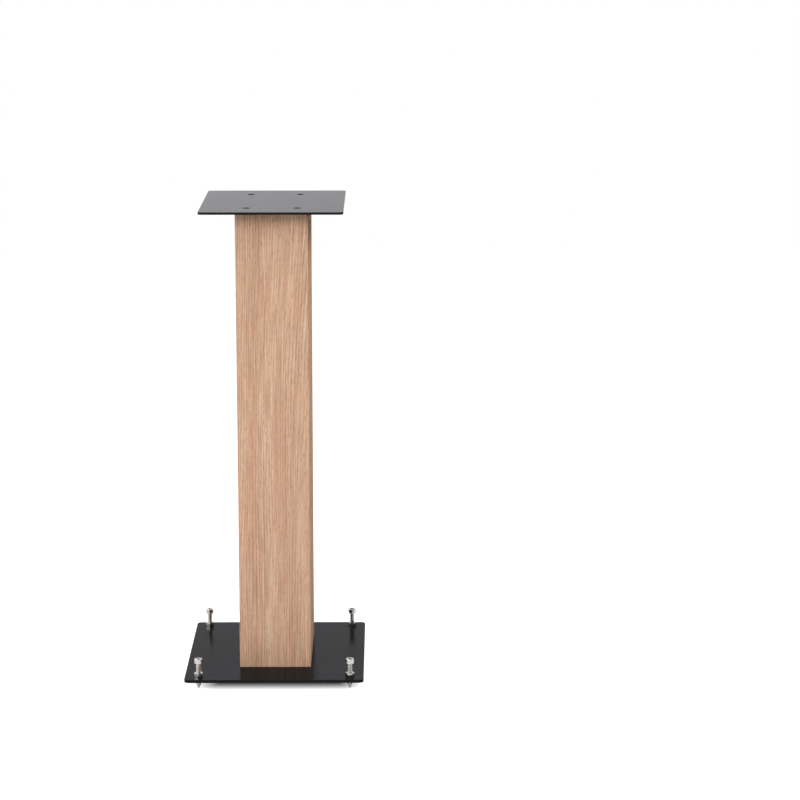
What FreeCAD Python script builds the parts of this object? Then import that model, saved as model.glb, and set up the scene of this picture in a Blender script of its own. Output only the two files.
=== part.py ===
import FreeCAD, Part
import os
import Sketcher
from math import cos, pi, sin

# Loudspeaker stand: a veneered box column screwed between a steel top plate and a larger steel base plate,
# which stands on four levelling screws with lock nuts.
# Frame: +Z up, -Y to the front, millimetres. The origin lies on the floor under the middle of the base plate.

SIZES = [
    ("total_height", 600, "floor to the top plate's upper face"),
    ("clearance", 11, "floor to the base plate's underside"),
    ("base_width", 225, "base plate, side to side"),
    ("base_depth", 260, "base plate, front to back"),
    ("base_thick", 4, "base plate"),
    ("base_corner", 6, "radius of the base plate's corners"),
    ("top_width", 178, "top plate, side to side"),
    ("top_depth", 214, "top plate, front to back"),
    ("top_thick", 3, "top plate"),
    ("top_corner", 5, "radius of the top plate's corners"),
    ("edge_round", 0.5, "radius along the edges of both plates"),
    ("column_width", 90, "column over its veneer, side to side"),
    ("column_depth", 160, "column over its veneer, front to back"),
    ("column_back", 6, "column's and top plate's centre behind the base plate's centre"),
    ("veneer_thick", 0.6, "oak veneer"),
    ("arris_round", 0.5, "radius of the column's upright edges"),
    ("board_thick", 22, "boards of the column's box"),
    ("end_board_thick", 12, "boards that close the box's ends"),
    ("brace_thick", 16, "brace at half height"),
    ("fixing_inset", 13.5, "plate screws' axes in from the column's faces"),
    ("fixing_shank", 5, "plate screw's shank, diameter"),
    ("fixing_head", 9, "plate screw's countersunk head, diameter"),
    ("fixing_recess", 0.38, "plate screws' heads below the plates' faces"),
    ("fixing_length", 16, "plate screw, overall"),
    ("fixing_socket", 3, "plate screw's hexagon socket, across flats"),
    ("fixing_socket_deep", 1.9, "plate screw's hexagon socket, depth"),
    ("fixing_hole", 5.5, "hole for a plate screw, diameter"),
    ("fixing_sink", 9.8, "countersink, diameter"),
    ("sleeve_outer", 8, "threaded insert, diameter"),
    ("sleeve_bore", 5.1, "threaded insert's bore, diameter"),
    ("sleeve_collar", 10, "threaded insert's collar, diameter"),
    ("sleeve_collar_thick", 1, "threaded insert's collar, thickness"),
    ("sleeve_length", 12, "threaded insert, overall"),
    ("sleeve_gap", 0.02, "between an insert and its hole, on the radius"),
    ("drilling_deep", 16, "hole in the board for an insert and the screw's end"),
    ("foot_inset_x", 17.5, "levelling screws' axes in from the base plate's sides"),
    ("foot_inset_y", 16, "levelling screws' axes in from its front and back"),
    ("foot_shank", 5.9, "levelling screw's thread, diameter"),
    ("foot_length", 32, "levelling screw, under its head"),
    ("foot_point_high", 5, "levelling screw's cone point, height"),
    ("foot_point_flat", 1.6, "flat at the point's end, diameter"),
    ("foot_head", 10, "levelling screw's head, diameter"),
    ("foot_head_high", 6, "levelling screw's head, height"),
    ("foot_head_edge", 0.6, "bevel of the head's upper edge"),
    ("foot_socket", 5, "levelling screw's hexagon socket, across flats"),
    ("foot_socket_deep", 3, "levelling screw's hexagon socket, depth"),
    ("tapped_hole", 6, "tapped holes and lock nuts' bores, diameter"),
    ("nut_across", 10, "lock nut, across flats"),
    ("nut_high", 5, "lock nut, height"),
    ("nut_bevel_wide", 0.75, "bevel of the nut's corners, inwards"),
    ("nut_bevel_high", 0.45, "bevel of the nut's corners, upwards"),
]

# Heights and lengths that several pieces share, as expressions on the sheet.
BASE_TOP = "Sizes.clearance + Sizes.base_thick"
COLUMN_TOP = "Sizes.total_height - Sizes.top_thick"
COLUMN_LONG = "Sizes.total_height - Sizes.top_thick - Sizes.clearance - Sizes.base_thick"
CORE_DEEP = "Sizes.column_depth - 2 * Sizes.veneer_thick"
INNER_WIDE = "Sizes.column_width - 2 * Sizes.veneer_thick - 2 * Sizes.board_thick"
INNER_DEEP = "Sizes.column_depth - 2 * Sizes.veneer_thick - 2 * Sizes.board_thick"
FIXING_X = "(Sizes.column_width / 2 - Sizes.fixing_inset)"
FIXING_Y = "(Sizes.column_depth / 2 - Sizes.fixing_inset)"
FOOT_X = "(Sizes.base_width / 2 - Sizes.foot_inset_x)"
FOOT_Y = "(Sizes.base_depth / 2 - Sizes.foot_inset_y)"
CORNERS = {"fl": (-1, -1), "fr": (1, -1), "rl": (-1, 1), "rr": (1, 1)}

# A lock nut stands at the angle at which it came tight: degrees about its screw from corners on the X axis.
NUT_TURNS = {"fl": 30, "fr": 0, "rl": 30, "rr": 0}

doc = FreeCAD.newDocument("speaker_stand")
sheet = doc.addObject("Spreadsheet::Sheet", "Sizes")
for row, (alias, size, meaning) in enumerate(SIZES, start=1):
    sheet.set("A%d" % row, meaning)
    sheet.set("B%d" % row, str(size))
    sheet.setAlias("B%d" % row, alias)
doc.recompute()


# ---------------------------------------------------------------- sketches and features

def bind(thing, **expressions):
    """Tie properties to the sheet. A double underscore in a key stands for the dot of a property path."""
    for key, text in expressions.items():
        thing.setExpression(key.replace("__", "."), text)
    return thing


def place(thing, x="0", y="0", z="0"):
    return bind(thing, Placement__Base__x=x, Placement__Base__y=y, Placement__Base__z=z)


def new_body(label):
    body = doc.addObject("PartDesign::Body", label)
    body.Label = label
    return body


def new_sketch(body, name, role, lift="0"):
    """A sketch on one of the body's own origin planes, moved along the plane's normal by lift."""
    plane = [item for item in body.Origin.OriginFeatures if item.Role == role][0]
    sketch = body.newObject("Sketcher::SketchObject", name)
    sketch.AttachmentSupport = (plane, [""])
    sketch.MapMode = "FlatFace"
    return bind(sketch, AttachmentOffset__Base__z=lift)


def hold_point(sketch, line, end, x, y, x_now, y_now):
    """Fix one point of a sketch at x and y from its origin, where both are expressions."""
    axes = (("DistanceX", x, x_now, -2), ("DistanceY", y, y_now, -1))
    for kind, text, now, axis in axes:
        if text == "0":
            sketch.addConstraint(Sketcher.Constraint("PointOnObject", line, end, axis))
        else:
            index = sketch.addConstraint(Sketcher.Constraint(kind, -1, 1, line, end, now))
            sketch.setExpression("Constraints[%d]" % index, text)


def outline(body, name, role, points, lift="0"):
    """A closed outline of straight lines through points given as pairs of expressions."""
    sketch = new_sketch(body, name, role, lift)
    count = len(points)
    ring = [FreeCAD.Vector(cos(2 * pi * i / count), sin(2 * pi * i / count), 0) for i in range(count)]
    for i in range(count):
        sketch.addGeometry(Part.LineSegment(ring[i], ring[(i + 1) % count]), False)
    for i in range(count):
        sketch.addConstraint(Sketcher.Constraint("Coincident", i, 2, (i + 1) % count, 1))
    for i, (x, y) in enumerate(points):
        hold_point(sketch, i, 1, x, y, ring[i].x, ring[i].y)
    return sketch


def rectangle(body, name, wide, deep):
    """An upright body's footprint, centred on its origin."""
    right, left = "(%s) / 2" % wide, "-(%s) / 2" % wide
    back, front = "(%s) / 2" % deep, "-(%s) / 2" % deep
    corners = [(left, front), (right, front), (right, back), (left, back)]
    return outline(body, name, "XY_Plane", corners)


def hexagon(body, name, across, lift):
    """A hexagon across flats, with two corners on the X axis."""
    radius = "%s / sqrt(3)" % across
    half = "%s / sqrt(12)" % across
    rise = "%s / 2" % across
    corners = [(radius, "0"), (half, rise), ("-" + half, rise),
               ("-" + radius, "0"), ("-" + half, "-" + rise), (half, "-" + rise)]
    return outline(body, name, "XY_Plane", corners, lift)


def circles(body, name, centres, across, lift="0"):
    """Equal circles at centres given as pairs of expressions."""
    sketch = new_sketch(body, name, "XY_Plane", lift)
    up = FreeCAD.Vector(0, 0, 1)
    for i, (x, y) in enumerate(centres):
        start = FreeCAD.Vector(20 * (i + 1), 20, 0)
        sketch.addGeometry(Part.Circle(start, up, 1), False)
        hold_point(sketch, i, 3, x, y, start.x, start.y)
        index = sketch.addConstraint(Sketcher.Constraint("Diameter", i, 2))
        sketch.setExpression("Constraints[%d]" % index, across)
    return sketch


def pad(body, sketch, length):
    feature = body.newObject("PartDesign::Pad", sketch.Name + "_pad")
    feature.Profile = sketch
    return bind(feature, Length=length)


def pocket(body, sketch, depth, upwards=False):
    feature = body.newObject("PartDesign::Pocket", sketch.Name + "_pocket")
    feature.Profile = sketch
    feature.Reversed = upwards
    return bind(feature, Length=depth)


def turned(body, sketch):
    """A full turn of a profile in the XZ plane about the body's Z axis."""
    feature = body.newObject("PartDesign::Revolution", sketch.Name + "_turned")
    feature.Profile = sketch
    feature.ReferenceAxis = (sketch, ["V_Axis"])
    feature.Angle = 360
    return feature


def through_holes(body, sketch, upwards=False, sunk=False):
    """Round holes right through, with the screw's countersink on the sketch's side if sunk."""
    doc.recompute()
    feature = body.newObject("PartDesign::Hole", sketch.Name + "_drilled")
    feature.Profile = sketch
    feature.DepthType = "ThroughAll"
    feature.Reversed = upwards
    if sunk:
        feature.HoleCutType = "Countersink"
        feature.HoleCutCountersinkAngle = 90
        bind(feature, HoleCutDiameter="Sizes.fixing_sink")
    return feature


def rounded(body, feature, radius, chosen):
    """Round the edges of the last feature for which chosen(edge) holds."""
    doc.recompute()
    names = ["Edge%d" % i for i, edge in enumerate(feature.Shape.Edges, start=1) if chosen(edge)]
    fillet = body.newObject("PartDesign::Fillet", feature.Name + "_round")
    fillet.Base = (feature, names)
    return bind(fillet, Radius=radius)


def is_upright(edge):
    low, high = edge.BoundBox.ZMin, edge.BoundBox.ZMax
    return high - low > 0.9 * edge.Length


def is_level(edge):
    return not is_upright(edge)


# ---------------------------------------------------------------- steel plates

def four_centres(x, y, back="0"):
    """The four points at plus and minus x and y, moved back."""
    return [("%d * %s" % (sx, x), "%d * %s + %s" % (sy, y, back)) for sx, sy in CORNERS.values()]


def base_plate():
    body = new_body("base_plate")
    blank = pad(body, rectangle(body, "base_outline", "Sizes.base_width", "Sizes.base_depth"),
                "Sizes.base_thick")
    cornered = rounded(body, blank, "Sizes.base_corner", is_upright)
    rounded(body, cornered, "Sizes.edge_round", is_level)
    feet = circles(body, "base_feet", four_centres(FOOT_X, FOOT_Y), "Sizes.tapped_hole", "Sizes.base_thick")
    bind(through_holes(body, feet), Diameter="Sizes.tapped_hole")
    screws = circles(body, "base_fixings", four_centres(FIXING_X, FIXING_Y, "Sizes.column_back"),
                     "Sizes.fixing_hole")
    bind(through_holes(body, screws, upwards=True, sunk=True), Diameter="Sizes.fixing_hole")
    return place(body, z="Sizes.clearance")


def top_plate():
    body = new_body("top_plate")
    blank = pad(body, rectangle(body, "top_outline", "Sizes.top_width", "Sizes.top_depth"), "Sizes.top_thick")
    cornered = rounded(body, blank, "Sizes.top_corner", is_upright)
    rounded(body, cornered, "Sizes.edge_round", is_level)
    screws = circles(body, "top_fixings", four_centres(FIXING_X, FIXING_Y), "Sizes.fixing_hole",
                     "Sizes.top_thick")
    bind(through_holes(body, screws, sunk=True), Diameter="Sizes.fixing_hole")
    return place(body, y="Sizes.column_back", z=COLUMN_TOP)


# ---------------------------------------------------------------- column

def side_panel(label, side):
    """A side board, as deep as the box, drilled at both ends for the threaded inserts."""
    body = new_body(label)
    pad(body, rectangle(body, label + "_outline", "Sizes.board_thick", CORE_DEEP), COLUMN_LONG)
    middle = "(Sizes.column_width / 2 - Sizes.veneer_thick - Sizes.board_thick / 2)"
    across = "%d * (%s - %s)" % (side, FIXING_X, middle)
    centres = [(across, "-1 * " + FIXING_Y), (across, FIXING_Y)]
    ends = (("lower", "0", True), ("upper", COLUMN_LONG, False))
    for name, lift, upwards in ends:
        drilled = circles(body, "%s_%s" % (label, name), centres, "Sizes.sleeve_outer", lift)
        pocket(body, drilled, "Sizes.drilling_deep", upwards)
        recess = circles(body, "%s_%s_recess" % (label, name), centres, "Sizes.sleeve_collar", lift)
        pocket(body, recess, "Sizes.sleeve_collar_thick", upwards)
    return place(body, "%d * %s" % (side, middle), "Sizes.column_back", BASE_TOP)


def board(label, wide, deep, high, x="0", y="0", z="0"):
    """A plain board whose footprint is centred on x, y and whose underside is at z."""
    box = doc.addObject("Part::Box", label)
    box.Label = label
    bind(box, Length=wide, Width=deep, Height=high)
    return place(box, "%s - (%s) / 2" % (x, wide), "%s - (%s) / 2" % (y, deep), z)


def end_panel(label, side):
    """A front or rear board, between the two side panels."""
    across = "%d * (Sizes.column_depth / 2 - Sizes.veneer_thick - Sizes.board_thick / 2)" % side
    return board(label, INNER_WIDE, "Sizes.board_thick", COLUMN_LONG,
                 y="Sizes.column_back + " + across, z=BASE_TOP)


def inner_board(label, thick, z):
    return board(label, INNER_WIDE, INNER_DEEP, thick, y="Sizes.column_back", z=z)


def face_veneer(label, side):
    """The front or rear veneer, as wide as the column, with its two outer upright edges rounded."""
    body = new_body(label)
    sheet_of_oak = pad(body, rectangle(body, label + "_outline", "Sizes.column_width", "Sizes.veneer_thick"),
                       COLUMN_LONG)

    def is_outer(edge):
        return is_upright(edge) and edge.BoundBox.Center.y * side > 0

    rounded(body, sheet_of_oak, "Sizes.arris_round", is_outer)
    across = "%d * (Sizes.column_depth - Sizes.veneer_thick) / 2" % side
    return place(body, y="Sizes.column_back + " + across, z=BASE_TOP)


def side_veneer(label, side):
    return board(label, "Sizes.veneer_thick", CORE_DEEP, COLUMN_LONG,
                 x="%d * (Sizes.column_width - Sizes.veneer_thick) / 2" % side,
                 y="Sizes.column_back", z=BASE_TOP)


# ---------------------------------------------------------------- plate screws and inserts

def group_of_four(label, single, z, upside_down=False):
    """Four copies of one piece at the plate screws' places, kept together as separate solids."""
    copies = []
    for corner, (sx, sy) in CORNERS.items():
        link = doc.addObject("App::Link", "%s_%s" % (label, corner))
        link.LinkedObject = single
        if upside_down:
            link.Placement.Rotation = FreeCAD.Rotation(FreeCAD.Vector(1, 0, 0), 180)
        place(link, "%d * %s" % (sx, FIXING_X), "Sizes.column_back + %d * %s" % (sy, FIXING_Y), z)
        copies.append(link)
    group = doc.addObject("Part::Compound", label)
    group.Label = label
    group.Links = copies
    return group


def countersunk_screw():
    """A countersunk socket screw: its flat top lies in the XY plane and its shank points down."""
    body = new_body("countersunk_screw")
    head, shank = "Sizes.fixing_head / 2", "Sizes.fixing_shank / 2"
    under_head = "-(Sizes.fixing_head - Sizes.fixing_shank) / 2"
    profile = [("0", "0"), (head, "0"), (shank, under_head), (shank, "-Sizes.fixing_length"),
               ("0", "-Sizes.fixing_length")]
    turned(body, outline(body, "countersunk_profile", "XZ_Plane", profile))
    pocket(body, hexagon(body, "countersunk_socket", "Sizes.fixing_socket", "0"), "Sizes.fixing_socket_deep")
    return body


def threaded_insert():
    """A threaded insert: its collar's face lies in the XY plane and its sleeve points down."""
    body = new_body("threaded_insert")
    bore = "Sizes.sleeve_bore / 2"
    outer = "(Sizes.sleeve_outer / 2 - Sizes.sleeve_gap)"
    collar = "(Sizes.sleeve_collar / 2 - Sizes.sleeve_gap)"
    profile = [(bore, "0"), (collar, "0"), (collar, "-Sizes.sleeve_collar_thick"),
               (outer, "-Sizes.sleeve_collar_thick"), (outer, "-Sizes.sleeve_length"),
               (bore, "-Sizes.sleeve_length")]
    turned(body, outline(body, "insert_profile", "XZ_Plane", profile))
    return body


# ---------------------------------------------------------------- levelling screws and lock nuts

def levelling_screw(corner, x, y):
    """A socket cap screw with a cone point: the point's end is on the floor."""
    body = new_body("levelling_screw_" + corner)
    shank, point, head = "Sizes.foot_shank / 2", "Sizes.foot_point_flat / 2", "Sizes.foot_head / 2"
    head_top = "Sizes.foot_length + Sizes.foot_head_high"
    profile = [("0", "0"), (point, "0"), (shank, "Sizes.foot_point_high"), (shank, "Sizes.foot_length"),
               (head, "Sizes.foot_length"), (head, head_top + " - Sizes.foot_head_edge"),
               (head + " - Sizes.foot_head_edge", head_top), ("0", head_top)]
    turned(body, outline(body, "levelling_profile_" + corner, "XZ_Plane", profile))
    socket = hexagon(body, "levelling_socket_" + corner, "Sizes.foot_socket", head_top)
    pocket(body, socket, "Sizes.foot_socket_deep")
    return place(body, x, y)


def lock_nut(corner, x, y):
    """A hexagon nut with bevelled corners: the prism's share of a disc with bevelled rims, and its bore."""
    label = "lock_nut_" + corner
    prism = doc.addObject("Part::Prism", label + "_prism")
    prism.Polygon = 6
    bind(prism, Circumradius="Sizes.nut_across / sqrt(3)", Height="Sizes.nut_high")
    disc = new_body(label + "_disc")
    rim, crown = "Sizes.nut_across / sqrt(3)", "(Sizes.nut_across / sqrt(3) - Sizes.nut_bevel_wide)"
    bore = "Sizes.tapped_hole / 2"
    profile = [(bore, "0"), (crown, "0"), (rim, "Sizes.nut_bevel_high"),
               (rim, "Sizes.nut_high - Sizes.nut_bevel_high"), (crown, "Sizes.nut_high"),
               (bore, "Sizes.nut_high")]
    turned(disc, outline(disc, "nut_profile_" + corner, "XZ_Plane", profile))
    nut = doc.addObject("Part::Common", label)
    nut.Label = label
    nut.Base = prism
    nut.Tool = disc
    nut.Placement.Rotation = FreeCAD.Rotation(FreeCAD.Vector(0, 0, 1), NUT_TURNS[corner])
    return place(nut, x, y, BASE_TOP)


# ---------------------------------------------------------------- the stand

screw = countersunk_screw()
insert = threaded_insert()
nodes = [
    base_plate(),
    top_plate(),
    side_panel("left_panel", -1),
    side_panel("right_panel", 1),
    end_panel("front_panel", -1),
    end_panel("rear_panel", 1),
    face_veneer("front_veneer", -1),
    face_veneer("rear_veneer", 1),
    side_veneer("left_veneer", -1),
    side_veneer("right_veneer", 1),
    inner_board("bottom_end_board", "Sizes.end_board_thick", BASE_TOP),
    inner_board("mid_brace", "Sizes.brace_thick",
                "%s + (%s - Sizes.brace_thick) / 2" % (BASE_TOP, COLUMN_LONG)),
    inner_board("top_end_board", "Sizes.end_board_thick", COLUMN_TOP + " - Sizes.end_board_thick"),
    group_of_four("top_inserts", insert, COLUMN_TOP),
    group_of_four("bottom_inserts", insert, BASE_TOP, upside_down=True),
    group_of_four("top_plate_screws", screw, "Sizes.total_height - Sizes.fixing_recess"),
    group_of_four("base_plate_screws", screw, "Sizes.clearance + Sizes.fixing_recess", upside_down=True),
]
for corner, (sx, sy) in CORNERS.items():
    foot_x, foot_y = "%d * %s" % (sx, FOOT_X), "%d * %s" % (sy, FOOT_Y)
    nodes.append(levelling_screw(corner, foot_x, foot_y))
    nodes.append(lock_nut(corner, foot_x, foot_y))
doc.recompute()

for thing in doc.Objects:
    if "Invalid" in thing.State or "Error" in thing.State:
        raise RuntimeError("%s failed: %s" % (thing.Label, thing.State))
for node in nodes:
    if node.Shape.isNull() or not node.Shape.isValid():
        raise RuntimeError("%s has no valid shape" % node.Label)

os.makedirs("parts", exist_ok=True)
for node in nodes:
    node.Shape.exportStep("parts/%s.step" % node.Label)
    print("%-20s %2d solids %10.1f mm3" % (node.Label, len(node.Shape.Solids), node.Shape.Volume))
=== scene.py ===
"""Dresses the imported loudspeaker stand: threaded hardware, finishes for every piece, and the stage.

Lengths are in metres in the frame of the stand: +Z up, -Y to the front, the floor at Z = 0.
"""

import math

import bpy
import numpy as np
from bpy.props import FloatProperty, FloatVectorProperty, IntProperty, PointerProperty
from bpy.types import Operator, Panel, PropertyGroup
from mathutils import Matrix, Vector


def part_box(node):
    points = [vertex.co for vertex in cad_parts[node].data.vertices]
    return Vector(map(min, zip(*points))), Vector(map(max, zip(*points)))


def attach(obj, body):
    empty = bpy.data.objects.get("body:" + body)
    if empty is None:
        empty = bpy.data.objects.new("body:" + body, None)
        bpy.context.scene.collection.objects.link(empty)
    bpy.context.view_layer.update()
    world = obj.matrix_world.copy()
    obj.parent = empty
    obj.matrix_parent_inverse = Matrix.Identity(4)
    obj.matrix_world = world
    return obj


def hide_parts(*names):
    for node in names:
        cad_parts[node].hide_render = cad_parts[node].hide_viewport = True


bl_info = {
    "name": "Loudspeaker Stand",
    "version": (1, 0, 0),
    "blender": (4, 5, 0),
    "location": "3D View > Sidebar > Stand",
    "description": "Makes the hardware, the finishes and the stage of a loudspeaker stand",
    "category": "Object",
}

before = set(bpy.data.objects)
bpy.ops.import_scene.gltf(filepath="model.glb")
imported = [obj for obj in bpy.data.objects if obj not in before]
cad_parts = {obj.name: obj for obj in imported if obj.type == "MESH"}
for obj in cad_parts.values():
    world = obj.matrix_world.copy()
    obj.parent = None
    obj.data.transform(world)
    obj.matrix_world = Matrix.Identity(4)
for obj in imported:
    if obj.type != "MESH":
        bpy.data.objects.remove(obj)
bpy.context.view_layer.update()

MM = 0.001
CORNERS = ("fl", "fr", "rl", "rr")
MIX_FACTOR, MIX_A, MIX_B, MIX_COLOUR = 0, 6, 7, 2    # sockets of a colour Mix node
NUMBER_A, NUMBER_B = 2, 3                            # sockets of a Mix node for numbers

# Points of the meshes
COLUMNS = 144          # round each turned piece: a multiple of 6 for hexagons, of 4 per knurl tooth
ROWS_PER_PITCH = 8     # along each turn of a thread
EDGE_STEPS = 5         # round the edge of a head
CHAMFER_STEPS = 9      # up a nut's chamfer
SHARP_EDGE = math.radians(30)

# Small shapes of standard screws and nuts
CREST_SHARE = 1 / 8            # flat of an ISO thread's crest, as a share of the pitch
ROOT_SHARE = 1 / 4             # flat of its root
DRILL_EDGE = 0.44              # radius of a socket's drilled floor, as a share of its width
DRILL_TIP = 0.1                # radius of the drill's tip there, as a share of the same width
FOOT_MOUTH = (0.1 * MM, 0.2 * MM)        # bevel of a levelling screw's socket, out and down
FOOT_DIP = 0.8 * MM                      # how far the drill went below that socket's walls
FIXING_MOUTH = (0.08 * MM, 0.15 * MM)    # the same of a plate screw's socket
FIXING_DIP = 0.4 * MM
FIXING_RIM = 0.1 * MM          # blunt rim of a countersunk head
FIXING_END = 0.6 * MM          # bevel of a plate screw's end
NUT_SLOPE = math.radians(30)   # rise of a nut's chamfer
NUT_CLIMB = 0.62 * MM          # a little more than the chamfer's height at the nut's corners
NUT_PLAY = 0.1 * MM            # by how much a nut's bore is wider than the screw


def linear(code):
    """An sRGB colour, such as #C9A182, as linear red, green, blue and a full alpha."""
    channels = [int(code[i:i + 2], 16) / 255 for i in (1, 3, 5)]
    return [c / 12.92 if c <= 0.04045 else ((c + 0.055) / 1.055) ** 2.4 for c in channels] + [1.0]


def length(name, description, millimetres):
    return FloatProperty(name=name, description=description, default=millimetres * MM, min=0.0,
                         precision=5, unit="LENGTH")


def colour(name, description, code):
    return FloatVectorProperty(name=name, description=description, default=linear(code), size=4,
                               min=0.0, max=1.0, subtype="COLOR")


def power(name, description, watts):
    return FloatProperty(name=name, description=description, default=watts, min=0.0, unit="POWER")


# ---------------------------------------------------------------- settings

class HardwareSettings(PropertyGroup):
    """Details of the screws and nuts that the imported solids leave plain."""

    foot_pitch: length("Foot pitch", "Rise of a levelling screw's thread in one turn", 1.0)
    foot_groove: length("Foot thread depth", "Depth of a levelling screw's thread", 0.58)
    foot_tip: length("Foot tip", "Diameter of the flat at a levelling screw's point", 1.6)
    foot_point: length("Foot point", "Height of a levelling screw's cone point", 5.0)
    foot_shank: length("Foot shank", "Diameter over a levelling screw's thread", 5.9)
    head_height: length("Head height", "Height of a levelling screw's head", 6.0)
    head_edge: length("Head edge", "Radius round the top of a levelling screw's head", 0.6)
    head_foot: length("Head underside edge",
                      "Bevel round the underside of a levelling screw's head", 0.3)
    knurl_teeth: IntProperty(name="Knurl teeth", description="Teeth round a levelling screw's head",
                             default=36, min=12, max=72)
    knurl_depth: length("Knurl depth", "Depth of the head's straight knurl", 0.1)
    foot_socket: length("Foot socket", "Hexagon socket of a levelling screw, across flats", 5.0)
    foot_socket_depth: length("Foot socket depth", "Depth of that socket", 3.0)
    nut_crown: length("Nut crown", "Diameter of a lock nut's round face inside its chamfer", 9.5)
    nut_countersink: length("Nut countersink", "Diameter of the bevel at a lock nut's bore", 6.7)
    fixing_pitch: length("Plate screw pitch", "Rise of a plate screw's thread in one turn", 0.8)
    fixing_groove: length("Plate screw thread depth", "Depth of a plate screw's thread", 0.45)
    fixing_head: length("Plate screw head", "Diameter of a plate screw's countersunk head", 9.0)
    fixing_shank: length("Plate screw shank", "Diameter over a plate screw's thread", 5.0)
    fixing_socket: length("Plate screw socket", "Hexagon socket of a plate screw, across flats",
                          3.0)
    fixing_socket_depth: length("Plate screw socket depth", "Depth of that socket", 1.9)


class FinishSettings(PropertyGroup):
    """Colours of the stand's finishes."""

    oak_straw: colour("Oak, straw", "Pale bands of the oak veneer", "#D9B699")
    oak_pink: colour("Oak, pink", "Pinkish bands of the oak veneer", "#D1A98E")
    oak_pale: colour("Oak, pale", "Streaks of the oak veneer", "#E6CDB5")
    oak_dark: colour("Oak, dark", "Early wood lines of the oak veneer", "#9A7055")
    oak_pore: colour("Oak, pores", "Open pores of the oak veneer", "#7C5638")
    powder_coat: colour("Powder coat", "Steel plates' black coating", "#161618")
    # Greyer colour of the plates' upright rims: a painted reflection of the floor.
    coat_painted_rim_reflection: colour("Powder coat, rims", "The same coating round the plates' rims", "#1E1E20")
    bright_steel: colour("Nickel plate", "Levelling screws and lock nuts", "#DAD8D3")
    black_oxide: colour("Black oxide", "Plate screws", "#101011")
    zinc: colour("Zinc", "Threaded inserts", "#B8B6AE")
    fibreboard: colour("Fibreboard", "Boards inside the column", "#A9845F")


class StageSettings(PropertyGroup):
    """Camera, lamps and floor."""

    camera_place: FloatVectorProperty(name="Camera place", description="Where the lens is", size=3,
                                      default=(0.1422, -3.4083, 1.0424), unit="LENGTH")
    camera_tilt: FloatProperty(name="Camera tilt", description="How far the lens looks down",
                               default=0.201574, unit="ROTATION")
    camera_turn: FloatProperty(name="Camera turn",
                               description="How far the lens turns to the right",
                               default=0.004815, unit="ROTATION")
    lens: FloatProperty(name="Lens", description="Focal length on a 36 mm sensor", default=122.9,
                        unit="CAMERA")
    floor_size: FloatProperty(name="Floor", description="Side of the white floor", default=7.0,
                              unit="LENGTH")
    room_light: FloatProperty(name="Room light", description="Even light from all sides",
                              default=0.24, min=0.0)
    overhead_light: power("Overhead light", "Softbox above, in front", 25.0)
    left_light: power("Left light", "Tall softbox in front on the left", 83.0)
    front_light: power("Front light", "Wide softbox over the camera", 56.0)
    right_light: power("Right light", "Softbox high on the right", 30.0)


# ---------------------------------------------------------------- surfaces

def ring_points(radius, height):
    """Points at radius and height round the Z axis: (r cos a, r sin a, z), where a goes once round
    in the columns of both arrays."""
    angle = np.linspace(0, 2 * np.pi, COLUMNS, endpoint=False)
    radius, height, angle = np.broadcast_arrays(radius, height, angle[None, :])
    return np.stack([radius * np.cos(angle), radius * np.sin(angle), height], axis=-1)


def turns():
    """Share of a full turn at each column, as a row."""
    return np.linspace(0, 1, COLUMNS, endpoint=False)[None, :]


def hexagon(across):
    """Radius of a hexagon with corners on the X axis: half its width across flats, over the cosine
    of the angle to the nearest flat's middle."""
    return across / 2 / np.cos((turns() * 2 * np.pi) % (np.pi / 3) - np.pi / 6)


def thread(outer, depth, pitch, height, end):
    """Radius of a right-hand thread at each height and angle: the outer radius less the groove,
    whose share is 0 on the crest's flat, 1 on the root's flat and straight between. It runs out a
    pitch before end."""
    phase = np.abs(2 * ((height / pitch - turns()) % 1) - 1)
    groove = np.clip((phase - CREST_SHARE) / (1 - CREST_SHARE - ROOT_SHARE), 0, 1)
    return outer - depth * groove * np.clip((end - height) / pitch, 0, 1)


def arc(radius, steps):
    """A quarter circle from the vertical to the horizontal: how far in and up, at each step."""
    angle = np.linspace(0, np.pi / 2, steps)
    return radius * (1 - np.cos(angle)), radius * np.sin(angle)


def column(*values):
    """Values as a column, one for each ring."""
    return np.array(values, float)[:, None]


def hexagon_socket(across, top, depth, mouth, dip):
    """Rings down into a hexagon socket: a circle round the corners, widened by the mouth's first
    measure, two hexagons, from the mouth's second measure below the top down to the depth, and the
    drill's cone in the floor, which dips further in the middle."""
    out, down = mouth
    rim = ring_points(column(across / math.sqrt(3) + out), column(top))
    walls = ring_points(np.repeat(hexagon(across), 2, axis=0), column(top - down, top - depth))
    drilled = ring_points(column(across * DRILL_EDGE, across * DRILL_TIP),
                          column(top - depth, top - depth - dip))
    return np.concatenate([rim, walls, drilled])


def closed_grid(rings):
    """Vertices and faces of rings joined row to row, with the first and last ring closed to the
    point at their middle. Columns run anticlockwise seen from above, so that the faces point
    outwards."""
    rows, columns = rings.shape[:2]
    here = np.arange(rows * columns).reshape(rows, columns)
    after = np.roll(here, -1, axis=1)
    sides = np.stack([here[:-1], after[:-1], after[1:], here[1:]], axis=-1).reshape(-1, 4)
    first = np.stack([after[0], here[0], np.full(columns, rows * columns)], axis=-1)
    last = np.stack([here[-1], after[-1], np.full(columns, rows * columns + 1)], axis=-1)
    middles = np.stack([rings[0].mean(axis=0), rings[-1].mean(axis=0)])
    vertices = np.concatenate([rings.reshape(-1, 3), middles])
    return vertices, sides.tolist() + first.tolist() + last.tolist()


def joined_grid(rings):
    """Vertices and faces of rings joined row to row, with the last ring joined to the first."""
    rows, columns = rings.shape[:2]
    here = np.arange(rows * columns).reshape(rows, columns)
    after = np.roll(here, -1, axis=1)
    above, above_after = np.roll(here, -1, axis=0), np.roll(after, -1, axis=0)
    faces = np.stack([here, after, above_after, above], axis=-1).reshape(-1, 4)
    return rings.reshape(-1, 3), faces.tolist()


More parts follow.
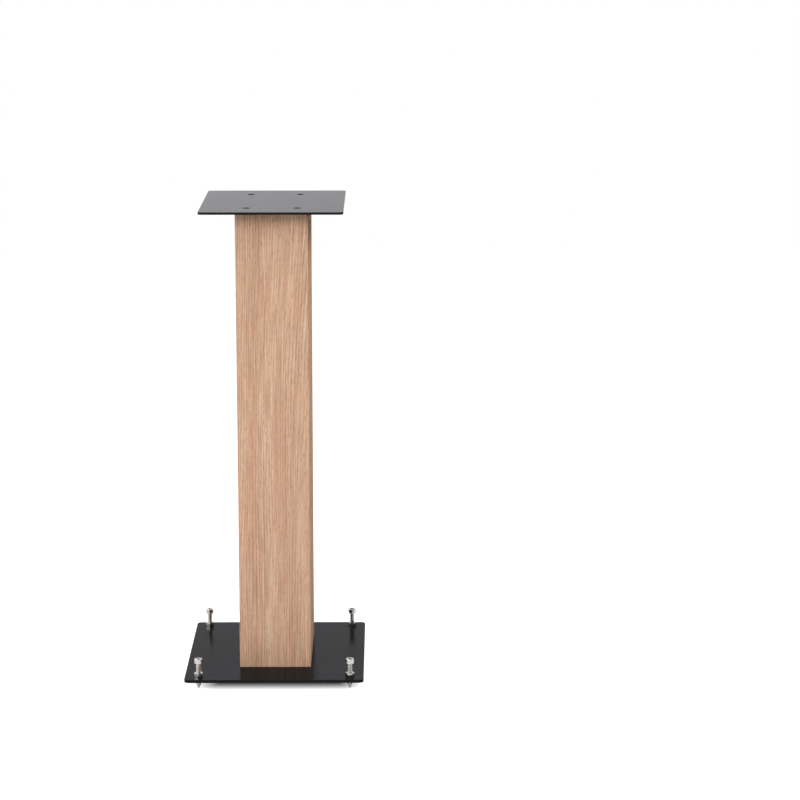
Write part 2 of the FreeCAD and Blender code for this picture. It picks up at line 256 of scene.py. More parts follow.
def new_piece(name, surface, places, body, material, stands_for):
    """One piece made of copies of a surface, moved to each place."""
    vertices, faces = surface
    count = len(vertices)
    moved = np.concatenate([vertices + np.array(place) for place in places])
    shifted = [[index + i * count for index in face] for i in range(len(places)) for face in faces]
    mesh = bpy.data.meshes.new(name)
    mesh.from_pydata(moved.tolist(), [], shifted)
    mesh.polygons.foreach_set("use_smooth", np.ones(len(shifted), bool))
    mesh.set_sharp_from_angle(angle=SHARP_EDGE)
    mesh.materials.append(material)
    if mesh.validate():
        raise RuntimeError("%s has faulty faces" % name)
    piece = bpy.data.objects.new(name, mesh)
    bpy.context.scene.collection.objects.link(piece)
    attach(piece, body)
    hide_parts(stands_for)


def levelling_screw(hardware, height, head):
    """A socket cap screw with a cone point, tip at the origin. The shank's radius is the lesser of
    its thread and of the cone, r = tip + z (shank - tip) / point. The head's side is
    r = R - d (1 - cos n a) / 2, a straight knurl of n teeth."""
    shoulder = height - hardware.head_height
    z = np.arange(0, shoulder, hardware.foot_pitch / ROWS_PER_PITCH)[:, None]
    tip, shank = hardware.foot_tip / 2, hardware.foot_shank / 2
    cone = tip + z * (shank - tip) / hardware.foot_point
    threaded = thread(shank, hardware.foot_groove, hardware.foot_pitch, z, shoulder)
    shaft = ring_points(np.minimum(threaded, cone), z)

    knurl = hardware.knurl_depth * (1 - np.cos(2 * np.pi * hardware.knurl_teeth * turns())) / 2
    bevel, edge = hardware.head_foot, hardware.head_edge
    inwards, upwards = arc(edge, EDGE_STEPS)
    heights = np.concatenate([[shoulder, shoulder, shoulder + bevel, shoulder + 2 * bevel],
                              [height - edge - 2 * bevel, height - edge - bevel],
                              height - edge + upwards])[:, None]
    radii = np.concatenate([[shank, head - bevel, head, head, head, head],
                            head - inwards])[:, None]
    toothed = column(0, 0, 0, 1, 1, 0, *np.zeros(len(inwards)))
    cap = ring_points(radii - toothed * knurl, heights)

    socket = hexagon_socket(hardware.foot_socket, height, hardware.foot_socket_depth,
                            FOOT_MOUTH, FOOT_DIP)
    return closed_grid(np.concatenate([shaft, cap, socket]))


def lock_nut(hardware, across, thick, bore, turned):
    """A hexagon nut, underside at the origin, with two corners on the X axis, or on the Y axis if
    turned. Its side's radius is the lesser of the hexagon and of a cone that rises from the crown
    at the chamfer's slope, at both ends, which leaves the arcs seen on each flat."""
    crown = hardware.nut_crown / 2
    climb = np.linspace(0, NUT_CLIMB, CHAMFER_STEPS)
    z = np.concatenate([climb, thick - climb[::-1]])[:, None]
    chamfer = crown + np.minimum(z, thick - z) / math.tan(NUT_SLOPE)
    corners = np.roll(hexagon(across), COLUMNS // 12 if turned else 0)
    side = ring_points(np.minimum(corners, chamfer), z)
    sink = hardware.nut_countersink / 2
    lip = sink - bore
    hole = ring_points(column(sink, bore, bore, sink), column(thick, thick - lip, lip, 0))
    return joined_grid(np.concatenate([side, hole]))


def plate_screw(hardware, long, head):
    """A countersunk socket screw with its flat top at the origin and its threaded shank below. The
    head is a 45 degree cone, r = head + z, from its blunt rim down to the shank."""
    shank = hardware.fixing_shank / 2
    neck = head - shank
    z = np.arange(0, long - neck, hardware.fixing_pitch / ROWS_PER_PITCH)[:, None]
    end_bevel = shank - FIXING_END + z
    threaded = thread(shank, hardware.fixing_groove, hardware.fixing_pitch, z, long - neck)
    shaft = ring_points(np.minimum(threaded, end_bevel), z - long)
    cone = ring_points(column(shank, head - FIXING_RIM, head - FIXING_RIM),
                       column(-neck, -FIXING_RIM, 0))
    socket = hexagon_socket(hardware.fixing_socket, 0, hardware.fixing_socket_depth,
                            FIXING_MOUTH, FIXING_DIP)
    return closed_grid(np.concatenate([shaft, cone, socket]))


# ---------------------------------------------------------------- materials

def add_node(tree, kind, properties=None, inputs=None):
    """Adds one node. properties are the node's own, and inputs maps a socket's name or number to a
    value or to the output that it is linked to."""
    node = tree.nodes.new(kind)
    for name, value in (properties or {}).items():
        setattr(node, name, value)
    for name, value in (inputs or {}).items():
        if isinstance(value, bpy.types.NodeSocket):
            tree.links.new(value, node.inputs[name])
        else:
            node.inputs[name].default_value = value
    return node


def new_material(name):
    """A material of that name and its tree, which is empty."""
    material = bpy.data.materials.new(name)
    material.use_nodes = True
    material.node_tree.nodes.clear()
    return material, material.node_tree


def pattern_space(tree, turn=0.0, shift=(0.0, 0.0, 0.0)):
    """Object coordinates in millimetres, turned about Z and then shifted."""
    where = add_node(tree, "ShaderNodeTexCoord")
    return add_node(tree, "ShaderNodeMapping", None,
                    {"Vector": where.outputs["Object"], "Location": shift,
                     "Rotation": (0.0, 0.0, turn), "Scale": (1 / MM,) * 3}).outputs[0]


def stretched(tree, vector, along):
    """The pattern space with its height divided by along, for a grain that runs upright."""
    return add_node(tree, "ShaderNodeMapping", None,
                    {"Vector": vector, "Scale": (1.0, 1.0, 1.0 / along)}).outputs[0]


def oak_veneer(name, finish, turn, depth, log, pith, lean):
    """Rift-cut oak veneer under dead matt lacquer. The knife met the growth rings at a slant, so
    the eye sees close upright lines of early wood, which lean where the pith runs away behind the
    leaf, with pinkish and straw bands as wide as a finger, pale streaks and short dark pores. The
    lacquer mirrors nothing, even at a grazing angle.

    The leaf's face lies at depth from the column's axis. log picks another log, pith is where its
    middle lay at the floor's level, across the leaf and behind it, and lean is how fast it runs
    back with the height. Sizes are in millimetres across the grain, and a long is how many times
    longer a pattern is along it."""
    material, tree = new_material(name)
    leaf = pattern_space(tree, turn, (0.0, depth + log, 0.0))

    # The trunk bends by a few millimetres over a hand's length, and its fibres jog by half a
    # millimetre.
    bend_size, bend_long, bend_reach = 45.0, 6.0, (11.0, 11.0, 0.0)
    jog_size, jog_long, jog_reach = 7.0, 3.5, (1.1, 1.1, 0.0)
    bend = add_node(tree, "ShaderNodeTexNoise", None,
                    {"Vector": stretched(tree, leaf, bend_long), "Scale": 1 / bend_size,
                     "Detail": 1.0})
    bent = add_node(tree, "ShaderNodeVectorMath", {"operation": "MULTIPLY_ADD"},
                    {0: bend.outputs["Color"], 1: bend_reach, 2: leaf}).outputs[0]
    jog = add_node(tree, "ShaderNodeTexNoise", None,
                   {"Vector": stretched(tree, leaf, jog_long), "Scale": 1 / jog_size,
                    "Detail": 2.0})
    jogged = add_node(tree, "ShaderNodeVectorMath", {"operation": "MULTIPLY_ADD"},
                      {0: jog.outputs["Color"], 1: jog_reach, 2: bent}).outputs[0]

    # Everything in the grain follows the distance from the pith, and runs along the height.
    trunk = add_node(tree, "ShaderNodeMapping", None,
                     {"Vector": jogged, "Location": (-pith[0], pith[1] - log, 0.0),
                      "Rotation": (-lean, 0.0, 0.0)})
    section = add_node(tree, "ShaderNodeVectorMath", {"operation": "MULTIPLY"},
                       {0: trunk.outputs[0], 1: (1.0, 1.0, 0.0)})
    radius = add_node(tree, "ShaderNodeVectorMath", {"operation": "LENGTH"},
                      {0: section.outputs[0]})
    axes = add_node(tree, "ShaderNodeSeparateXYZ", None, {0: leaf})
    grain = add_node(tree, "ShaderNodeCombineXYZ", None,
                     {"X": radius.outputs["Value"], "Y": axes.outputs["Y"],
                      "Z": axes.outputs["Z"]}).outputs[0]

    # Growth rings 3 mm apart, their early wood dark and narrow. A Wave texture repeats every
    # 2 pi / 20 over its scale.
    ring_gap, ring_long = 3.0, 30.0
    rings = add_node(tree, "ShaderNodeTexWave",
                     {"wave_type": "BANDS", "bands_direction": "X", "wave_profile": "SAW"},
                     {"Vector": stretched(tree, grain, ring_long),
                      "Scale": 2 * math.pi / 20 / ring_gap, "Distortion": 3.5, "Detail": 2.0,
                      "Detail Scale": 1.4, "Detail Roughness": 0.6})
    early = add_node(tree, "ShaderNodeMath", {"operation": "POWER"},
                     {0: rings.outputs["Fac"], 1: 3.0})

    # Colour bands 10 to 25 mm wide, fibres and streaks 1 to 2 mm wide, and clear patches a
    # finger wide, where the rings are faint.
    band_size, band_long = 17.0, 28.0
    fibre_size, fibre_long = 1.5, 32.0
    streak_size, streak_long = 2.6, 45.0
    clear_size, clear_long = 22.0, 12.0
    bands = add_node(tree, "ShaderNodeTexNoise", None,
                     {"Vector": stretched(tree, grain, band_long), "Scale": 1 / band_size,
                      "Detail": 1.0})
    fibres = add_node(tree, "ShaderNodeTexNoise", None,
                      {"Vector": stretched(tree, grain, fibre_long), "Scale": 1 / fibre_size,
                       "Detail": 3.0, "Roughness": 0.6})
    streaks = add_node(tree, "ShaderNodeTexNoise", None,
                       {"Vector": stretched(tree, grain, streak_long), "Scale": 1 / streak_size,
                        "Detail": 2.0})
    clear = add_node(tree, "ShaderNodeTexNoise", None,
                     {"Vector": stretched(tree, grain, clear_long), "Scale": 1 / clear_size,
                      "Detail": 0.0})

    # Pores 0.5 mm wide and 8 mm long, most in the early wood: real pores are half as wide, too
    # fine to show.
    pore_gap, pore_long = 0.9, 11.0
    cells = add_node(tree, "ShaderNodeTexVoronoi", None,
                     {"Vector": stretched(tree, grain, pore_long), "Scale": 1 / pore_gap,
                      "Randomness": 1.0})
    spots = add_node(tree, "ShaderNodeMapRange", None,
                     {"Value": cells.outputs["Distance"], "From Min": 0.42, "From Max": 0.2,
                      "To Min": 0.0, "To Max": 1.0})
    crowd = add_node(tree, "ShaderNodeMapRange", None,
                     {"Value": early.outputs[0], "To Min": 0.25, "To Max": 1.0})
    pores = add_node(tree, "ShaderNodeMath", {"operation": "MULTIPLY"},
                     {0: spots.outputs[0], 1: crowd.outputs[0]}).outputs[0]

    # The colours, from the ground up: bands, streaks, early wood with fibres, and pores.
    band_share = add_node(tree, "ShaderNodeMapRange", None,
                          {"Value": bands.outputs["Fac"], "From Min": 0.36, "From Max": 0.62})
    ground = add_node(tree, "ShaderNodeMix", {"data_type": "RGBA"},
                      {MIX_FACTOR: band_share.outputs[0], MIX_A: finish.oak_straw,
                       MIX_B: finish.oak_pink})
    streak_share = add_node(tree, "ShaderNodeMapRange", None,
                            {"Value": streaks.outputs["Fac"], "From Min": 0.5, "From Max": 0.72,
                             "To Min": 0.0, "To Max": 0.6})
    streaked = add_node(tree, "ShaderNodeMix", {"data_type": "RGBA"},
                        {MIX_FACTOR: streak_share.outputs[0], MIX_A: ground.outputs[MIX_COLOUR],
                         MIX_B: finish.oak_pale})
    clear_share = add_node(tree, "ShaderNodeMapRange", None,
                           {"Value": clear.outputs["Fac"], "From Min": 0.35, "From Max": 0.65,
                            "To Min": 0.15, "To Max": 0.6})
    ring_share = add_node(tree, "ShaderNodeMath", {"operation": "MULTIPLY"},
                          {0: early.outputs[0], 1: clear_share.outputs[0]})
    fibre_share = add_node(tree, "ShaderNodeMapRange", None,
                           {"Value": fibres.outputs["Fac"], "From Min": 0.36, "From Max": 0.68,
                            "To Min": 0.0, "To Max": 0.5})
    dark_share = add_node(tree, "ShaderNodeMath", {"operation": "ADD", "use_clamp": True},
                          {0: ring_share.outputs[0], 1: fibre_share.outputs[0]})
    lined = add_node(tree, "ShaderNodeMix", {"data_type": "RGBA"},
                     {MIX_FACTOR: dark_share.outputs[0], MIX_A: streaked.outputs[MIX_COLOUR],
                      MIX_B: finish.oak_dark})
    pore_share = add_node(tree, "ShaderNodeMath", {"operation": "MULTIPLY"}, {0: pores, 1: 0.7})
    wood = add_node(tree, "ShaderNodeMix", {"data_type": "RGBA"},
                    {MIX_FACTOR: pore_share.outputs[0], MIX_A: lined.outputs[MIX_COLOUR],
                     MIX_B: finish.oak_pore})

    rough = add_node(tree, "ShaderNodeMapRange", None,
                     {"Value": fibres.outputs["Fac"], "To Min": 0.6, "To Max": 0.75})
    sunk = add_node(tree, "ShaderNodeMath", {"operation": "SUBTRACT"}, {0: 1.0, 1: pores})
    relief = add_node(tree, "ShaderNodeBump", None,
                      {"Height": sunk.outputs[0], "Strength": 0.35, "Distance": 0.05 * MM})
    shader = add_node(tree, "ShaderNodeBsdfPrincipled", None,
                      {"Base Color": wood.outputs[MIX_COLOUR], "Roughness": rough.outputs[0],
                       "Specular IOR Level": 0.0, "Normal": relief.outputs[0]})
    add_node(tree, "ShaderNodeOutputMaterial", None, {"Surface": shader.outputs[0]})
    return material


def powder_coat(name, finish):
    """Polyester powder coat baked on steel: black and satin, so that it mirrors little except at a
    grazing angle, with the shallow orange peel that the melted grains leave about a millimetre
    apart. Faces that stand upright, round the rims, get a greyer colour than the flats: a painted
    reflection of the floor in front."""
    peel_size, grain_size = 1.3, 0.5
    material, tree = new_material(name)
    space = pattern_space(tree)
    peel = add_node(tree, "ShaderNodeTexNoise", None,
                    {"Vector": space, "Scale": 1 / peel_size, "Detail": 2.0})
    grains = add_node(tree, "ShaderNodeTexNoise", None,
                      {"Vector": space, "Scale": 1 / grain_size, "Detail": 1.0})
    rough = add_node(tree, "ShaderNodeMapRange", None,
                     {"Value": grains.outputs["Fac"], "From Min": 0.3, "From Max": 0.7,
                      "To Min": 0.16, "To Max": 0.22})
    shade = add_node(tree, "ShaderNodeMapRange", None,
                     {"Value": grains.outputs["Fac"], "From Min": 0.3, "From Max": 0.7,
                      "To Min": 0.85, "To Max": 1.15})
    # Upright faces take the rim colour, by how far they turn from level: painted reflection.
    surface = add_node(tree, "ShaderNodeNewGeometry")
    facing = add_node(tree, "ShaderNodeSeparateXYZ", None, {0: surface.outputs["True Normal"]})
    flat = add_node(tree, "ShaderNodeMath", {"operation": "ABSOLUTE"}, {0: facing.outputs["Z"]})
    coat_and_painted_reflection = add_node(tree, "ShaderNodeMix", {"data_type": "RGBA"},
                    {MIX_FACTOR: flat.outputs[0], MIX_A: finish.coat_painted_rim_reflection,
                     MIX_B: finish.powder_coat})
    tinted = add_node(tree, "ShaderNodeVectorMath", {"operation": "SCALE"},
                      {0: coat_and_painted_reflection.outputs[MIX_COLOUR], "Scale": shade.outputs[0]})
    relief = add_node(tree, "ShaderNodeBump", None,
                      {"Height": peel.outputs["Fac"], "Strength": 0.2, "Distance": 0.02 * MM})
    shader = add_node(tree, "ShaderNodeBsdfPrincipled", None,
                      {"Base Color": tinted.outputs[0], "Roughness": rough.outputs[0],
                       "Specular IOR Level": 0.015, "Normal": relief.outputs[0]})
    add_node(tree, "ShaderNodeOutputMaterial", None, {"Surface": shader.outputs[0]})
    return material


def machined_metal(name, tint, smooth, dull, brightness):
    """A metal skin over turned steel. Handling leaves cloudy patches a few millimetres across, so
    the gloss runs from smooth to dull, and fine lathe marks run round the piece."""
    cloud_size, lathe_size, lathe_long = 2.5, 1.5, 1 / 12
    material, tree = new_material(name)
    space = pattern_space(tree)
    cloud = add_node(tree, "ShaderNodeTexNoise", None,
                     {"Vector": space, "Scale": 1 / cloud_size, "Detail": 3.0})
    rough = add_node(tree, "ShaderNodeMapRange", None,
                     {"Value": cloud.outputs["Fac"], "From Min": 0.3, "From Max": 0.7,
                      "To Min": smooth, "To Max": dull})
    shade = add_node(tree, "ShaderNodeMapRange", None,
                     {"Value": cloud.outputs["Fac"], "From Min": 0.25, "From Max": 0.75,
                      "To Min": brightness, "To Max": 1.0})
    tinted = add_node(tree, "ShaderNodeVectorMath", {"operation": "SCALE"},
                      {0: list(tint)[:3], "Scale": shade.outputs[0]})
    lathe = add_node(tree, "ShaderNodeTexNoise", None,
                     {"Vector": stretched(tree, space, lathe_long), "Scale": 1 / lathe_size,
                      "Detail": 1.0})
    relief = add_node(tree, "ShaderNodeBump", None,
                      {"Height": lathe.outputs["Fac"], "Strength": 0.15, "Distance": 0.01 * MM})
    shader = add_node(tree, "ShaderNodeBsdfPrincipled", None,
                      {"Base Color": tinted.outputs[0], "Metallic": 1.0,
                       "Roughness": rough.outputs[0], "Normal": relief.outputs[0]})
    add_node(tree, "ShaderNodeOutputMaterial", None, {"Surface": shader.outputs[0]})
    return material


def black_oxide(name, finish):
    """Black oxide on steel, oiled: a thin dark crust that hides the metal, with a dull gloss that
    varies from spot to spot."""
    spot_size = 1.5
    material, tree = new_material(name)
    crust = add_node(tree, "ShaderNodeTexNoise", None,
                     {"Vector": pattern_space(tree), "Scale": 1 / spot_size, "Detail": 3.0})
    rough = add_node(tree, "ShaderNodeMapRange", None,
                     {"Value": crust.outputs["Fac"], "From Min": 0.3, "From Max": 0.7,
                      "To Min": 0.5, "To Max": 0.7})
    shade = add_node(tree, "ShaderNodeMapRange", None,
                     {"Value": crust.outputs["Fac"], "From Min": 0.3, "From Max": 0.7,
                      "To Min": 0.7, "To Max": 1.3})
    tinted = add_node(tree, "ShaderNodeVectorMath", {"operation": "SCALE"},
                      {0: list(finish.black_oxide)[:3], "Scale": shade.outputs[0]})
    shader = add_node(tree, "ShaderNodeBsdfPrincipled", None,
                      {"Base Color": tinted.outputs[0], "Roughness": rough.outputs[0],
                       "Specular IOR Level": 0.004})
    add_node(tree, "ShaderNodeOutputMaterial", None, {"Surface": shader.outputs[0]})
    return material


def fibreboard(name, finish):
    """Medium-density fibreboard, sanded and left raw: matt brown felt of fibres with pale and dark
    specks a millimetre long."""
    speck_size = 0.9
    material, tree = new_material(name)
    specks = add_node(tree, "ShaderNodeTexNoise", None,
                      {"Vector": pattern_space(tree), "Scale": 1 / speck_size, "Detail": 4.0})
    shade = add_node(tree, "ShaderNodeMapRange", None,
                     {"Value": specks.outputs["Fac"], "From Min": 0.3, "From Max": 0.7,
                      "To Min": 0.7, "To Max": 1.25})
    tinted = add_node(tree, "ShaderNodeVectorMath", {"operation": "SCALE"},
                      {0: list(finish.fibreboard)[:3], "Scale": shade.outputs[0]})
    relief = add_node(tree, "ShaderNodeBump", None,
                      {"Height": specks.outputs["Fac"], "Strength": 0.4, "Distance": 0.05 * MM})
    shader = add_node(tree, "ShaderNodeBsdfPrincipled", None,
                      {"Base Color": tinted.outputs[0], "Roughness": 0.9,
                       "Normal": relief.outputs[0]})
    add_node(tree, "ShaderNodeOutputMaterial", None, {"Surface": shader.outputs[0]})
    return material


def dress(nodes, material):
    """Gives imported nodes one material."""
    for node in nodes:
        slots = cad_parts[node].data.materials
        slots.clear()
        slots.append(material)


# ---------------------------------------------------------------- operators

class STAND_OT_levelling_screws(Operator):
    """Make the four levelling screws with their threads, knurls and sockets"""

    bl_idname = "stand.levelling_screws"
    bl_label = "Levelling Screws"

    def execute(self, context):
        hardware, finish = context.scene.stand_hardware, context.scene.stand_finish
        material = machined_metal("nickel_plated_screw", finish.bright_steel,
                                  smooth=0.1, dull=0.22, brightness=0.9)
        for corner in CORNERS:
            node = "levelling_screw_" + corner
            low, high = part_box(node)
            surface = levelling_screw(hardware, high.z - low.z, (high.x - low.x) / 2)
            place = ((low.x + high.x) / 2, (low.y + high.y) / 2, low.z)
            new_piece("threaded_foot_" + corner, surface, [place], "foot_" + corner,
                      material, node)
        return {"FINISHED"}


class STAND_OT_lock_nuts(Operator):
    """Make the four lock nuts with their chamfered corners and countersunk bores"""

    bl_idname = "stand.lock_nuts"
    bl_label = "Lock Nuts"

    def execute(self, context):
        hardware, finish = context.scene.stand_hardware, context.scene.stand_finish
        material = machined_metal("nickel_plated_nut", finish.bright_steel,
                                  smooth=0.12, dull=0.25, brightness=0.88)
        bore = (hardware.foot_shank + NUT_PLAY) / 2
        for corner in CORNERS:
            node = "lock_nut_" + corner
            low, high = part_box(node)
            wide, deep, thick = high - low
            surface = lock_nut(hardware, min(wide, deep), thick, bore, turned=wide < deep)
            place = ((low.x + high.x) / 2, (low.y + high.y) / 2, low.z)
            new_piece("chamfered_nut_" + corner, surface, [place], "nut_" + corner,
                      material, node)
        return {"FINISHED"}


class STAND_OT_plate_screws(Operator):
    """Make the countersunk screws that hold the two plates on the column"""

    bl_idname = "stand.plate_screws"
    bl_label = "Plate Screws"

    def execute(self, context):
        hardware, finish = context.scene.stand_hardware, context.scene.stand_finish
        material = black_oxide("black_oxide_screw", finish)
        head = hardware.fixing_head / 2
        for node, facing in (("top_plate_screws", 1), ("base_plate_screws", -1)):
            low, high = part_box(node)
            vertices, faces = plate_screw(hardware, high.z - low.z, head)
            surface = (vertices * np.array([1, facing, facing]), faces)
            level = high.z if facing > 0 else low.z
            places = [(x, y, level) for x in (low.x + head, high.x - head)
                      for y in (low.y + head, high.y - head)]
            new_piece(node.replace("screws", "socket_screws"), surface, places, "stand",
                      material, node)
        return {"FINISHED"}


class STAND_OT_plates(Operator):
    """Coat the top plate and the base plate"""

    bl_idname = "stand.plates"
    bl_label = "Plates"

    def execute(self, context):
        coat = powder_coat("satin_black_powder_coat", context.scene.stand_finish)
        dress(("top_plate", "base_plate"), coat)
        return {"FINISHED"}


class STAND_OT_veneers(Operator):
    """Give each face of the column its own leaf of oak veneer"""

    bl_idname = "stand.veneers"
    bl_label = "Veneers"

    def execute(self, context):
        finish = context.scene.stand_finish
        # Quarter turns that bring the face to the front, the log, the pith's place and its lean.
        leaves = {
            "front_veneer": (0, 120.0, (75.0, -7.0), 0.065),
            "rear_veneer": (2, 300.0, (-70.0, 30.0), 0.03),
            "left_veneer": (1, 600.0, (-120.0, 40.0), 0.02),
            "right_veneer": (-1, 900.0, (130.0, 35.0), 0.04),
        }
        for node, (quarters, log, pith, lean) in leaves.items():
            low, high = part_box(node)
            depth = {0: -low.y, 1: -low.x, 2: high.y, -1: high.x}[quarters] / MM
            leaf = oak_veneer("oak_" + node, finish, quarters * math.pi / 2, depth, log, pith, lean)
            dress([node], leaf)
        return {"FINISHED"}


class STAND_OT_column_boards(Operator):
    """Finish the boards inside the column"""

    bl_idname = "stand.column_boards"
    bl_label = "Column Boards"

    def execute(self, context):
        board = fibreboard("raw_fibreboard", context.scene.stand_finish)
        dress(("front_panel", "rear_panel", "left_panel", "right_panel",
               "bottom_end_board", "mid_brace", "top_end_board"), board)
        return {"FINISHED"}


class STAND_OT_inserts(Operator):
    """Finish the threaded inserts in the column's ends"""

    bl_idname = "stand.inserts"
    bl_label = "Threaded Inserts"

    def execute(self, context):
        zinc = machined_metal("die_cast_zinc", context.scene.stand_finish.zinc,
                              smooth=0.35, dull=0.5, brightness=0.75)
        dress(("top_inserts", "bottom_inserts"), zinc)
        return {"FINISHED"}


def add_lamp(name, watts, size, place, mirrored=True):
    """A rectangular softbox that faces the middle of the stand. Gloss shows it if it is
    mirrored."""
    data = bpy.data.lights.new(name, "AREA")
    data.shape = "RECTANGLE"
    data.energy = watts
    data.size, data.size_y = size
    lamp = bpy.data.objects.new(name, data)
    lamp.location = place
    middle = Vector((0.0, 0.0, 0.3))
    lamp.rotation_euler = (lamp.location - middle).to_track_quat("Z", "Y").to_euler()
    lamp.visible_camera = False
    lamp.visible_glossy = mirrored
    bpy.context.scene.collection.objects.link(lamp)


class STAND_OT_stage(Operator):
    """Make the camera, the lamps, the room's light and the white floor"""

    bl_idname = "stand.stage"
    bl_label = "Stage"

    def execute(self, context):
        stage = context.scene.stand_stage
        context.scene.view_settings.view_transform = "Standard"

        camera = bpy.data.objects.new("camera", bpy.data.cameras.new("camera"))
        camera.location = stage.camera_place
        camera.rotation_euler = (math.pi / 2 - stage.camera_tilt, 0.0, -stage.camera_turn)
        camera.data.lens = stage.lens
        camera.data.clip_end = 100.0     # metres, well past the floor's far corners
        context.scene.collection.objects.link(camera)
        context.scene.camera = camera

        half = stage.floor_size / 2
        mesh = bpy.data.meshes.new("floor")
        mesh.from_pydata([(-half, -half, 0), (half, -half, 0), (half, half, 0), (-half, half, 0)],
                         [], [(0, 1, 2, 3)])
        floor = bpy.data.objects.new("floor", mesh)
        context.scene.collection.objects.link(floor)
        mesh.materials.append(self.paper())

        self.room(stage.room_light)
        add_lamp("overhead_softbox", stage.overhead_light, size=(2.9, 2.1),
                 place=(-0.4, -1.4, 3.3))
        add_lamp("left_softbox", stage.left_light, size=(1.6, 2.3), place=(-3.0, -2.0, 1.8))
        add_lamp("front_softbox", stage.front_light, size=(2.1, 1.3), place=(0.6, -3.5, 2.4),
                 mirrored=False)
        add_lamp("right_softbox", stage.right_light, size=(0.8, 0.8), place=(1.4, -0.2, 2.2),
                 mirrored=False)
        return {"FINISHED"}

    @staticmethod
    def paper():
        """White background paper, matt. For the camera and for gloss it has some light of its own,
        weak in a rectangle under the base plate and strong away from the stand, so that it stays
        white
        around it: the weak rectangle is a painted shadow, which deepens and shapes the real one."""
        painted_shadow_middle = (0.005, 0.0, 0.0)          # the painted shadow sits a little to the right
        edge_across, edge_deep = 0.036, 0.031      # how far it stays inside the plate's outline
        fade = 0.025                               # over what distance it ends
        # The paper's own light inside the painted shadow, and away from it.
        painted_shadow_glow, far_glow = 0.1, 0.85
        gloss_share = 0.3                          # how much of that light gloss shows

        material, tree = new_material("white_paper")
        matt = add_node(tree, "ShaderNodeBsdfDiffuse", None, {"Color": linear("#D1D1D3")})
        ray = add_node(tree, "ShaderNodeLightPath")
        where = add_node(tree, "ShaderNodeTexCoord")
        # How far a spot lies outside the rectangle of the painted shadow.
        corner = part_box("base_plate")[1]
        centred = add_node(tree, "ShaderNodeVectorMath", {"operation": "SUBTRACT"},
                           {0: where.outputs["Object"], 1: painted_shadow_middle})
        sides = add_node(tree, "ShaderNodeVectorMath", {"operation": "ABSOLUTE"},
                         {0: centred.outputs[0]})
        past = add_node(tree, "ShaderNodeVectorMath", {"operation": "SUBTRACT"},
                        {0: sides.outputs[0],
                         1: (corner.x - edge_across, corner.y - edge_deep, 0.0)})
        outside = add_node(tree, "ShaderNodeVectorMath", {"operation": "MAXIMUM"},
                           {0: past.outputs[0], 1: (0.0, 0.0, 0.0)})
        distance_from_painted_shadow = add_node(tree, "ShaderNodeVectorMath", {"operation": "LENGTH"},
                        {0: outside.outputs[0]})
        # Weak light of its own inside the painted shadow, full light past it.
        glow_and_painted_shadow = add_node(tree, "ShaderNodeMapRange", None,
                        {"Value": distance_from_painted_shadow.outputs["Value"], "From Min": 0.0, "From Max": fade,
                         "To Min": painted_shadow_glow, "To Max": far_glow})
        shown = add_node(tree, "ShaderNodeMath", {"operation": "MULTIPLY_ADD"},
                         {0: ray.outputs["Is Glossy Ray"], 1: gloss_share,
                          2: ray.outputs["Is Camera Ray"]})
        share = add_node(tree, "ShaderNodeMath", {"operation": "MULTIPLY"},
                         {0: shown.outputs[0], 1: glow_and_painted_shadow.outputs[0]})
        glow = add_node(tree, "ShaderNodeEmission", None, {"Strength": share.outputs[0]})
        both = add_node(tree, "ShaderNodeAddShader", None, {0: matt.outputs[0], 1: glow.outputs[0]})
        add_node(tree, "ShaderNodeOutputMaterial", None, {"Surface": both.outputs[0]})
        return material

    @staticmethod
    def room(room_light):
        """Light from all sides: white paper behind the stand and on its left, and the darker room
        in front of it on the right. Gloss shows both as bright as they are, and the camera sees
        only white."""
        dark_share, paper_share = 0.4, 1.4     # of the even light, from the room and the paper
        dark_mirrored = 0.12                   # how bright gloss shows the room

        world = bpy.data.worlds.new("room")
        world.use_nodes = True
        tree = world.node_tree
        tree.nodes.clear()
        ray = add_node(tree, "ShaderNodeLightPath")
        where = add_node(tree, "ShaderNodeTexCoord")
        axes = add_node(tree, "ShaderNodeSeparateXYZ", None, {0: where.outputs["Generated"]})
        # 0 where the room is seen and 1 where the paper is, by the direction's axes.
        left = add_node(tree, "ShaderNodeMapRange", None,
                        {"Value": axes.outputs["X"], "From Min": 0.1, "From Max": -0.25})
        behind = add_node(tree, "ShaderNodeMapRange", None,
                          {"Value": axes.outputs["Y"], "From Min": 0.35, "From Max": 0.7})
        paper = add_node(tree, "ShaderNodeMath", {"operation": "MAXIMUM"},
                         {0: left.outputs[0], 1: behind.outputs[0]})
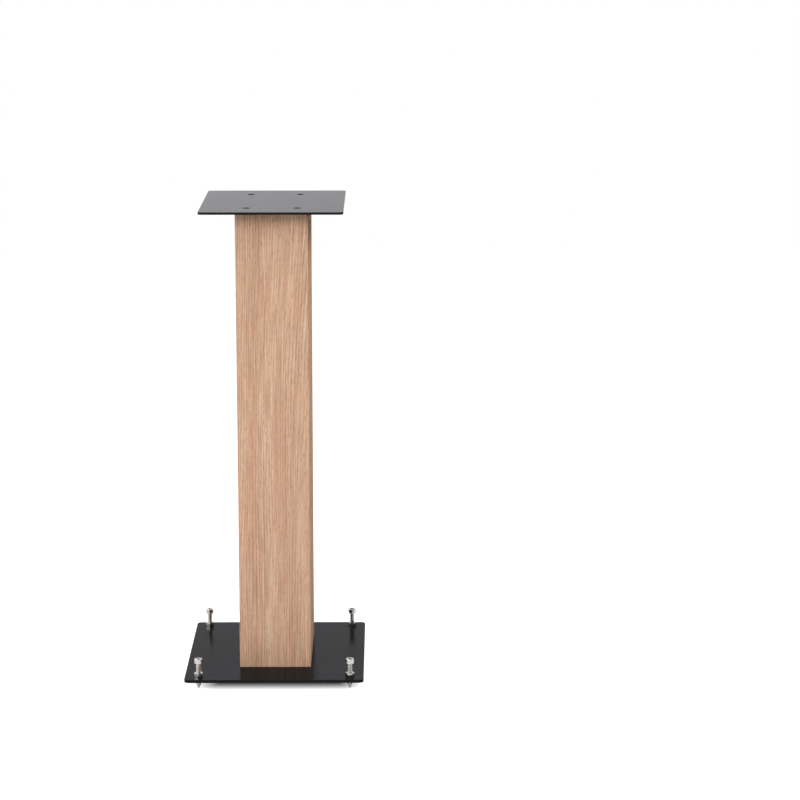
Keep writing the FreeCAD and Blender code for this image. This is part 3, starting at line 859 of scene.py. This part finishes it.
        # The paper is brightest low down, and fades a little from the left to the right.
        horizon = add_node(tree, "ShaderNodeMapRange", None,
                           {"Value": axes.outputs["Z"], "From Min": 0.13, "From Max": 0.3,
                            "To Min": 1.5, "To Max": 1.0})
        fading = add_node(tree, "ShaderNodeMapRange", None,
                          {"Value": axes.outputs["X"], "From Min": -0.08, "From Max": 0.02,
                           "To Min": 1.03, "To Max": 0.92})
        bright = add_node(tree, "ShaderNodeMath", {"operation": "MULTIPLY"},
                          {0: horizon.outputs[0], 1: fading.outputs[0]})
        mirrored = add_node(tree, "ShaderNodeMapRange", None,
                            {"Value": paper.outputs[0], "To Min": dark_mirrored,
                             "To Max": bright.outputs[0]})
        soft = add_node(tree, "ShaderNodeMapRange", None,
                        {"Value": paper.outputs[0], "To Min": dark_share * room_light,
                         "To Max": paper_share * room_light})
        lit = add_node(tree, "ShaderNodeMix", {"data_type": "FLOAT"},
                       {MIX_FACTOR: ray.outputs["Is Glossy Ray"], NUMBER_A: soft.outputs[0],
                        NUMBER_B: mirrored.outputs[0]})
        seen = add_node(tree, "ShaderNodeMix", {"data_type": "FLOAT"},
                        {MIX_FACTOR: ray.outputs["Is Camera Ray"], NUMBER_A: lit.outputs[0],
                         NUMBER_B: 1.0})
        tint = add_node(tree, "ShaderNodeMix", {"data_type": "RGBA"},
                        {MIX_FACTOR: ray.outputs["Is Glossy Ray"], MIX_A: linear("#FFFFFF"),
                         MIX_B: linear("#FBFAFF")})
        light = add_node(tree, "ShaderNodeBackground", None,
                         {"Color": tint.outputs[MIX_COLOUR], "Strength": seen.outputs[0]})
        add_node(tree, "ShaderNodeOutputWorld", None, {"Surface": light.outputs[0]})
        bpy.context.scene.world = world


# ---------------------------------------------------------------- panel and registration

class STAND_PT_sidebar(Panel):
    """The stand's settings and makers"""

    bl_idname = "STAND_PT_sidebar"
    bl_label = "Loudspeaker Stand"
    bl_space_type = "VIEW_3D"
    bl_region_type = "UI"
    bl_category = "Stand"

    def draw(self, context):
        for operator in OPERATORS:
            self.layout.operator(operator.bl_idname)
        for group in SETTINGS:
            settings = getattr(context.scene, group)
            box = self.layout.box()
            for name in settings.__annotations__:
                box.prop(settings, name)


SETTINGS = {"stand_hardware": HardwareSettings, "stand_finish": FinishSettings,
            "stand_stage": StageSettings}
OPERATORS = (STAND_OT_stage, STAND_OT_plates, STAND_OT_veneers, STAND_OT_column_boards,
             STAND_OT_inserts, STAND_OT_levelling_screws, STAND_OT_lock_nuts,
             STAND_OT_plate_screws)
CLASSES = (*SETTINGS.values(), *OPERATORS, STAND_PT_sidebar)


def register():
    for item in CLASSES:
        bpy.utils.register_class(item)
    for name, settings in SETTINGS.items():
        setattr(bpy.types.Scene, name, PointerProperty(type=settings))


def unregister():
    for name in SETTINGS:
        delattr(bpy.types.Scene, name)
    for item in reversed(CLASSES):
        bpy.utils.unregister_class(item)


def main():
    register()
    bpy.ops.stand.stage()
    bpy.ops.stand.plates()
    bpy.ops.stand.veneers()
    bpy.ops.stand.column_boards()
    bpy.ops.stand.inserts()
    bpy.ops.stand.levelling_screws()
    bpy.ops.stand.lock_nuts()
    bpy.ops.stand.plate_screws()


if __name__ == "__main__":
    main()
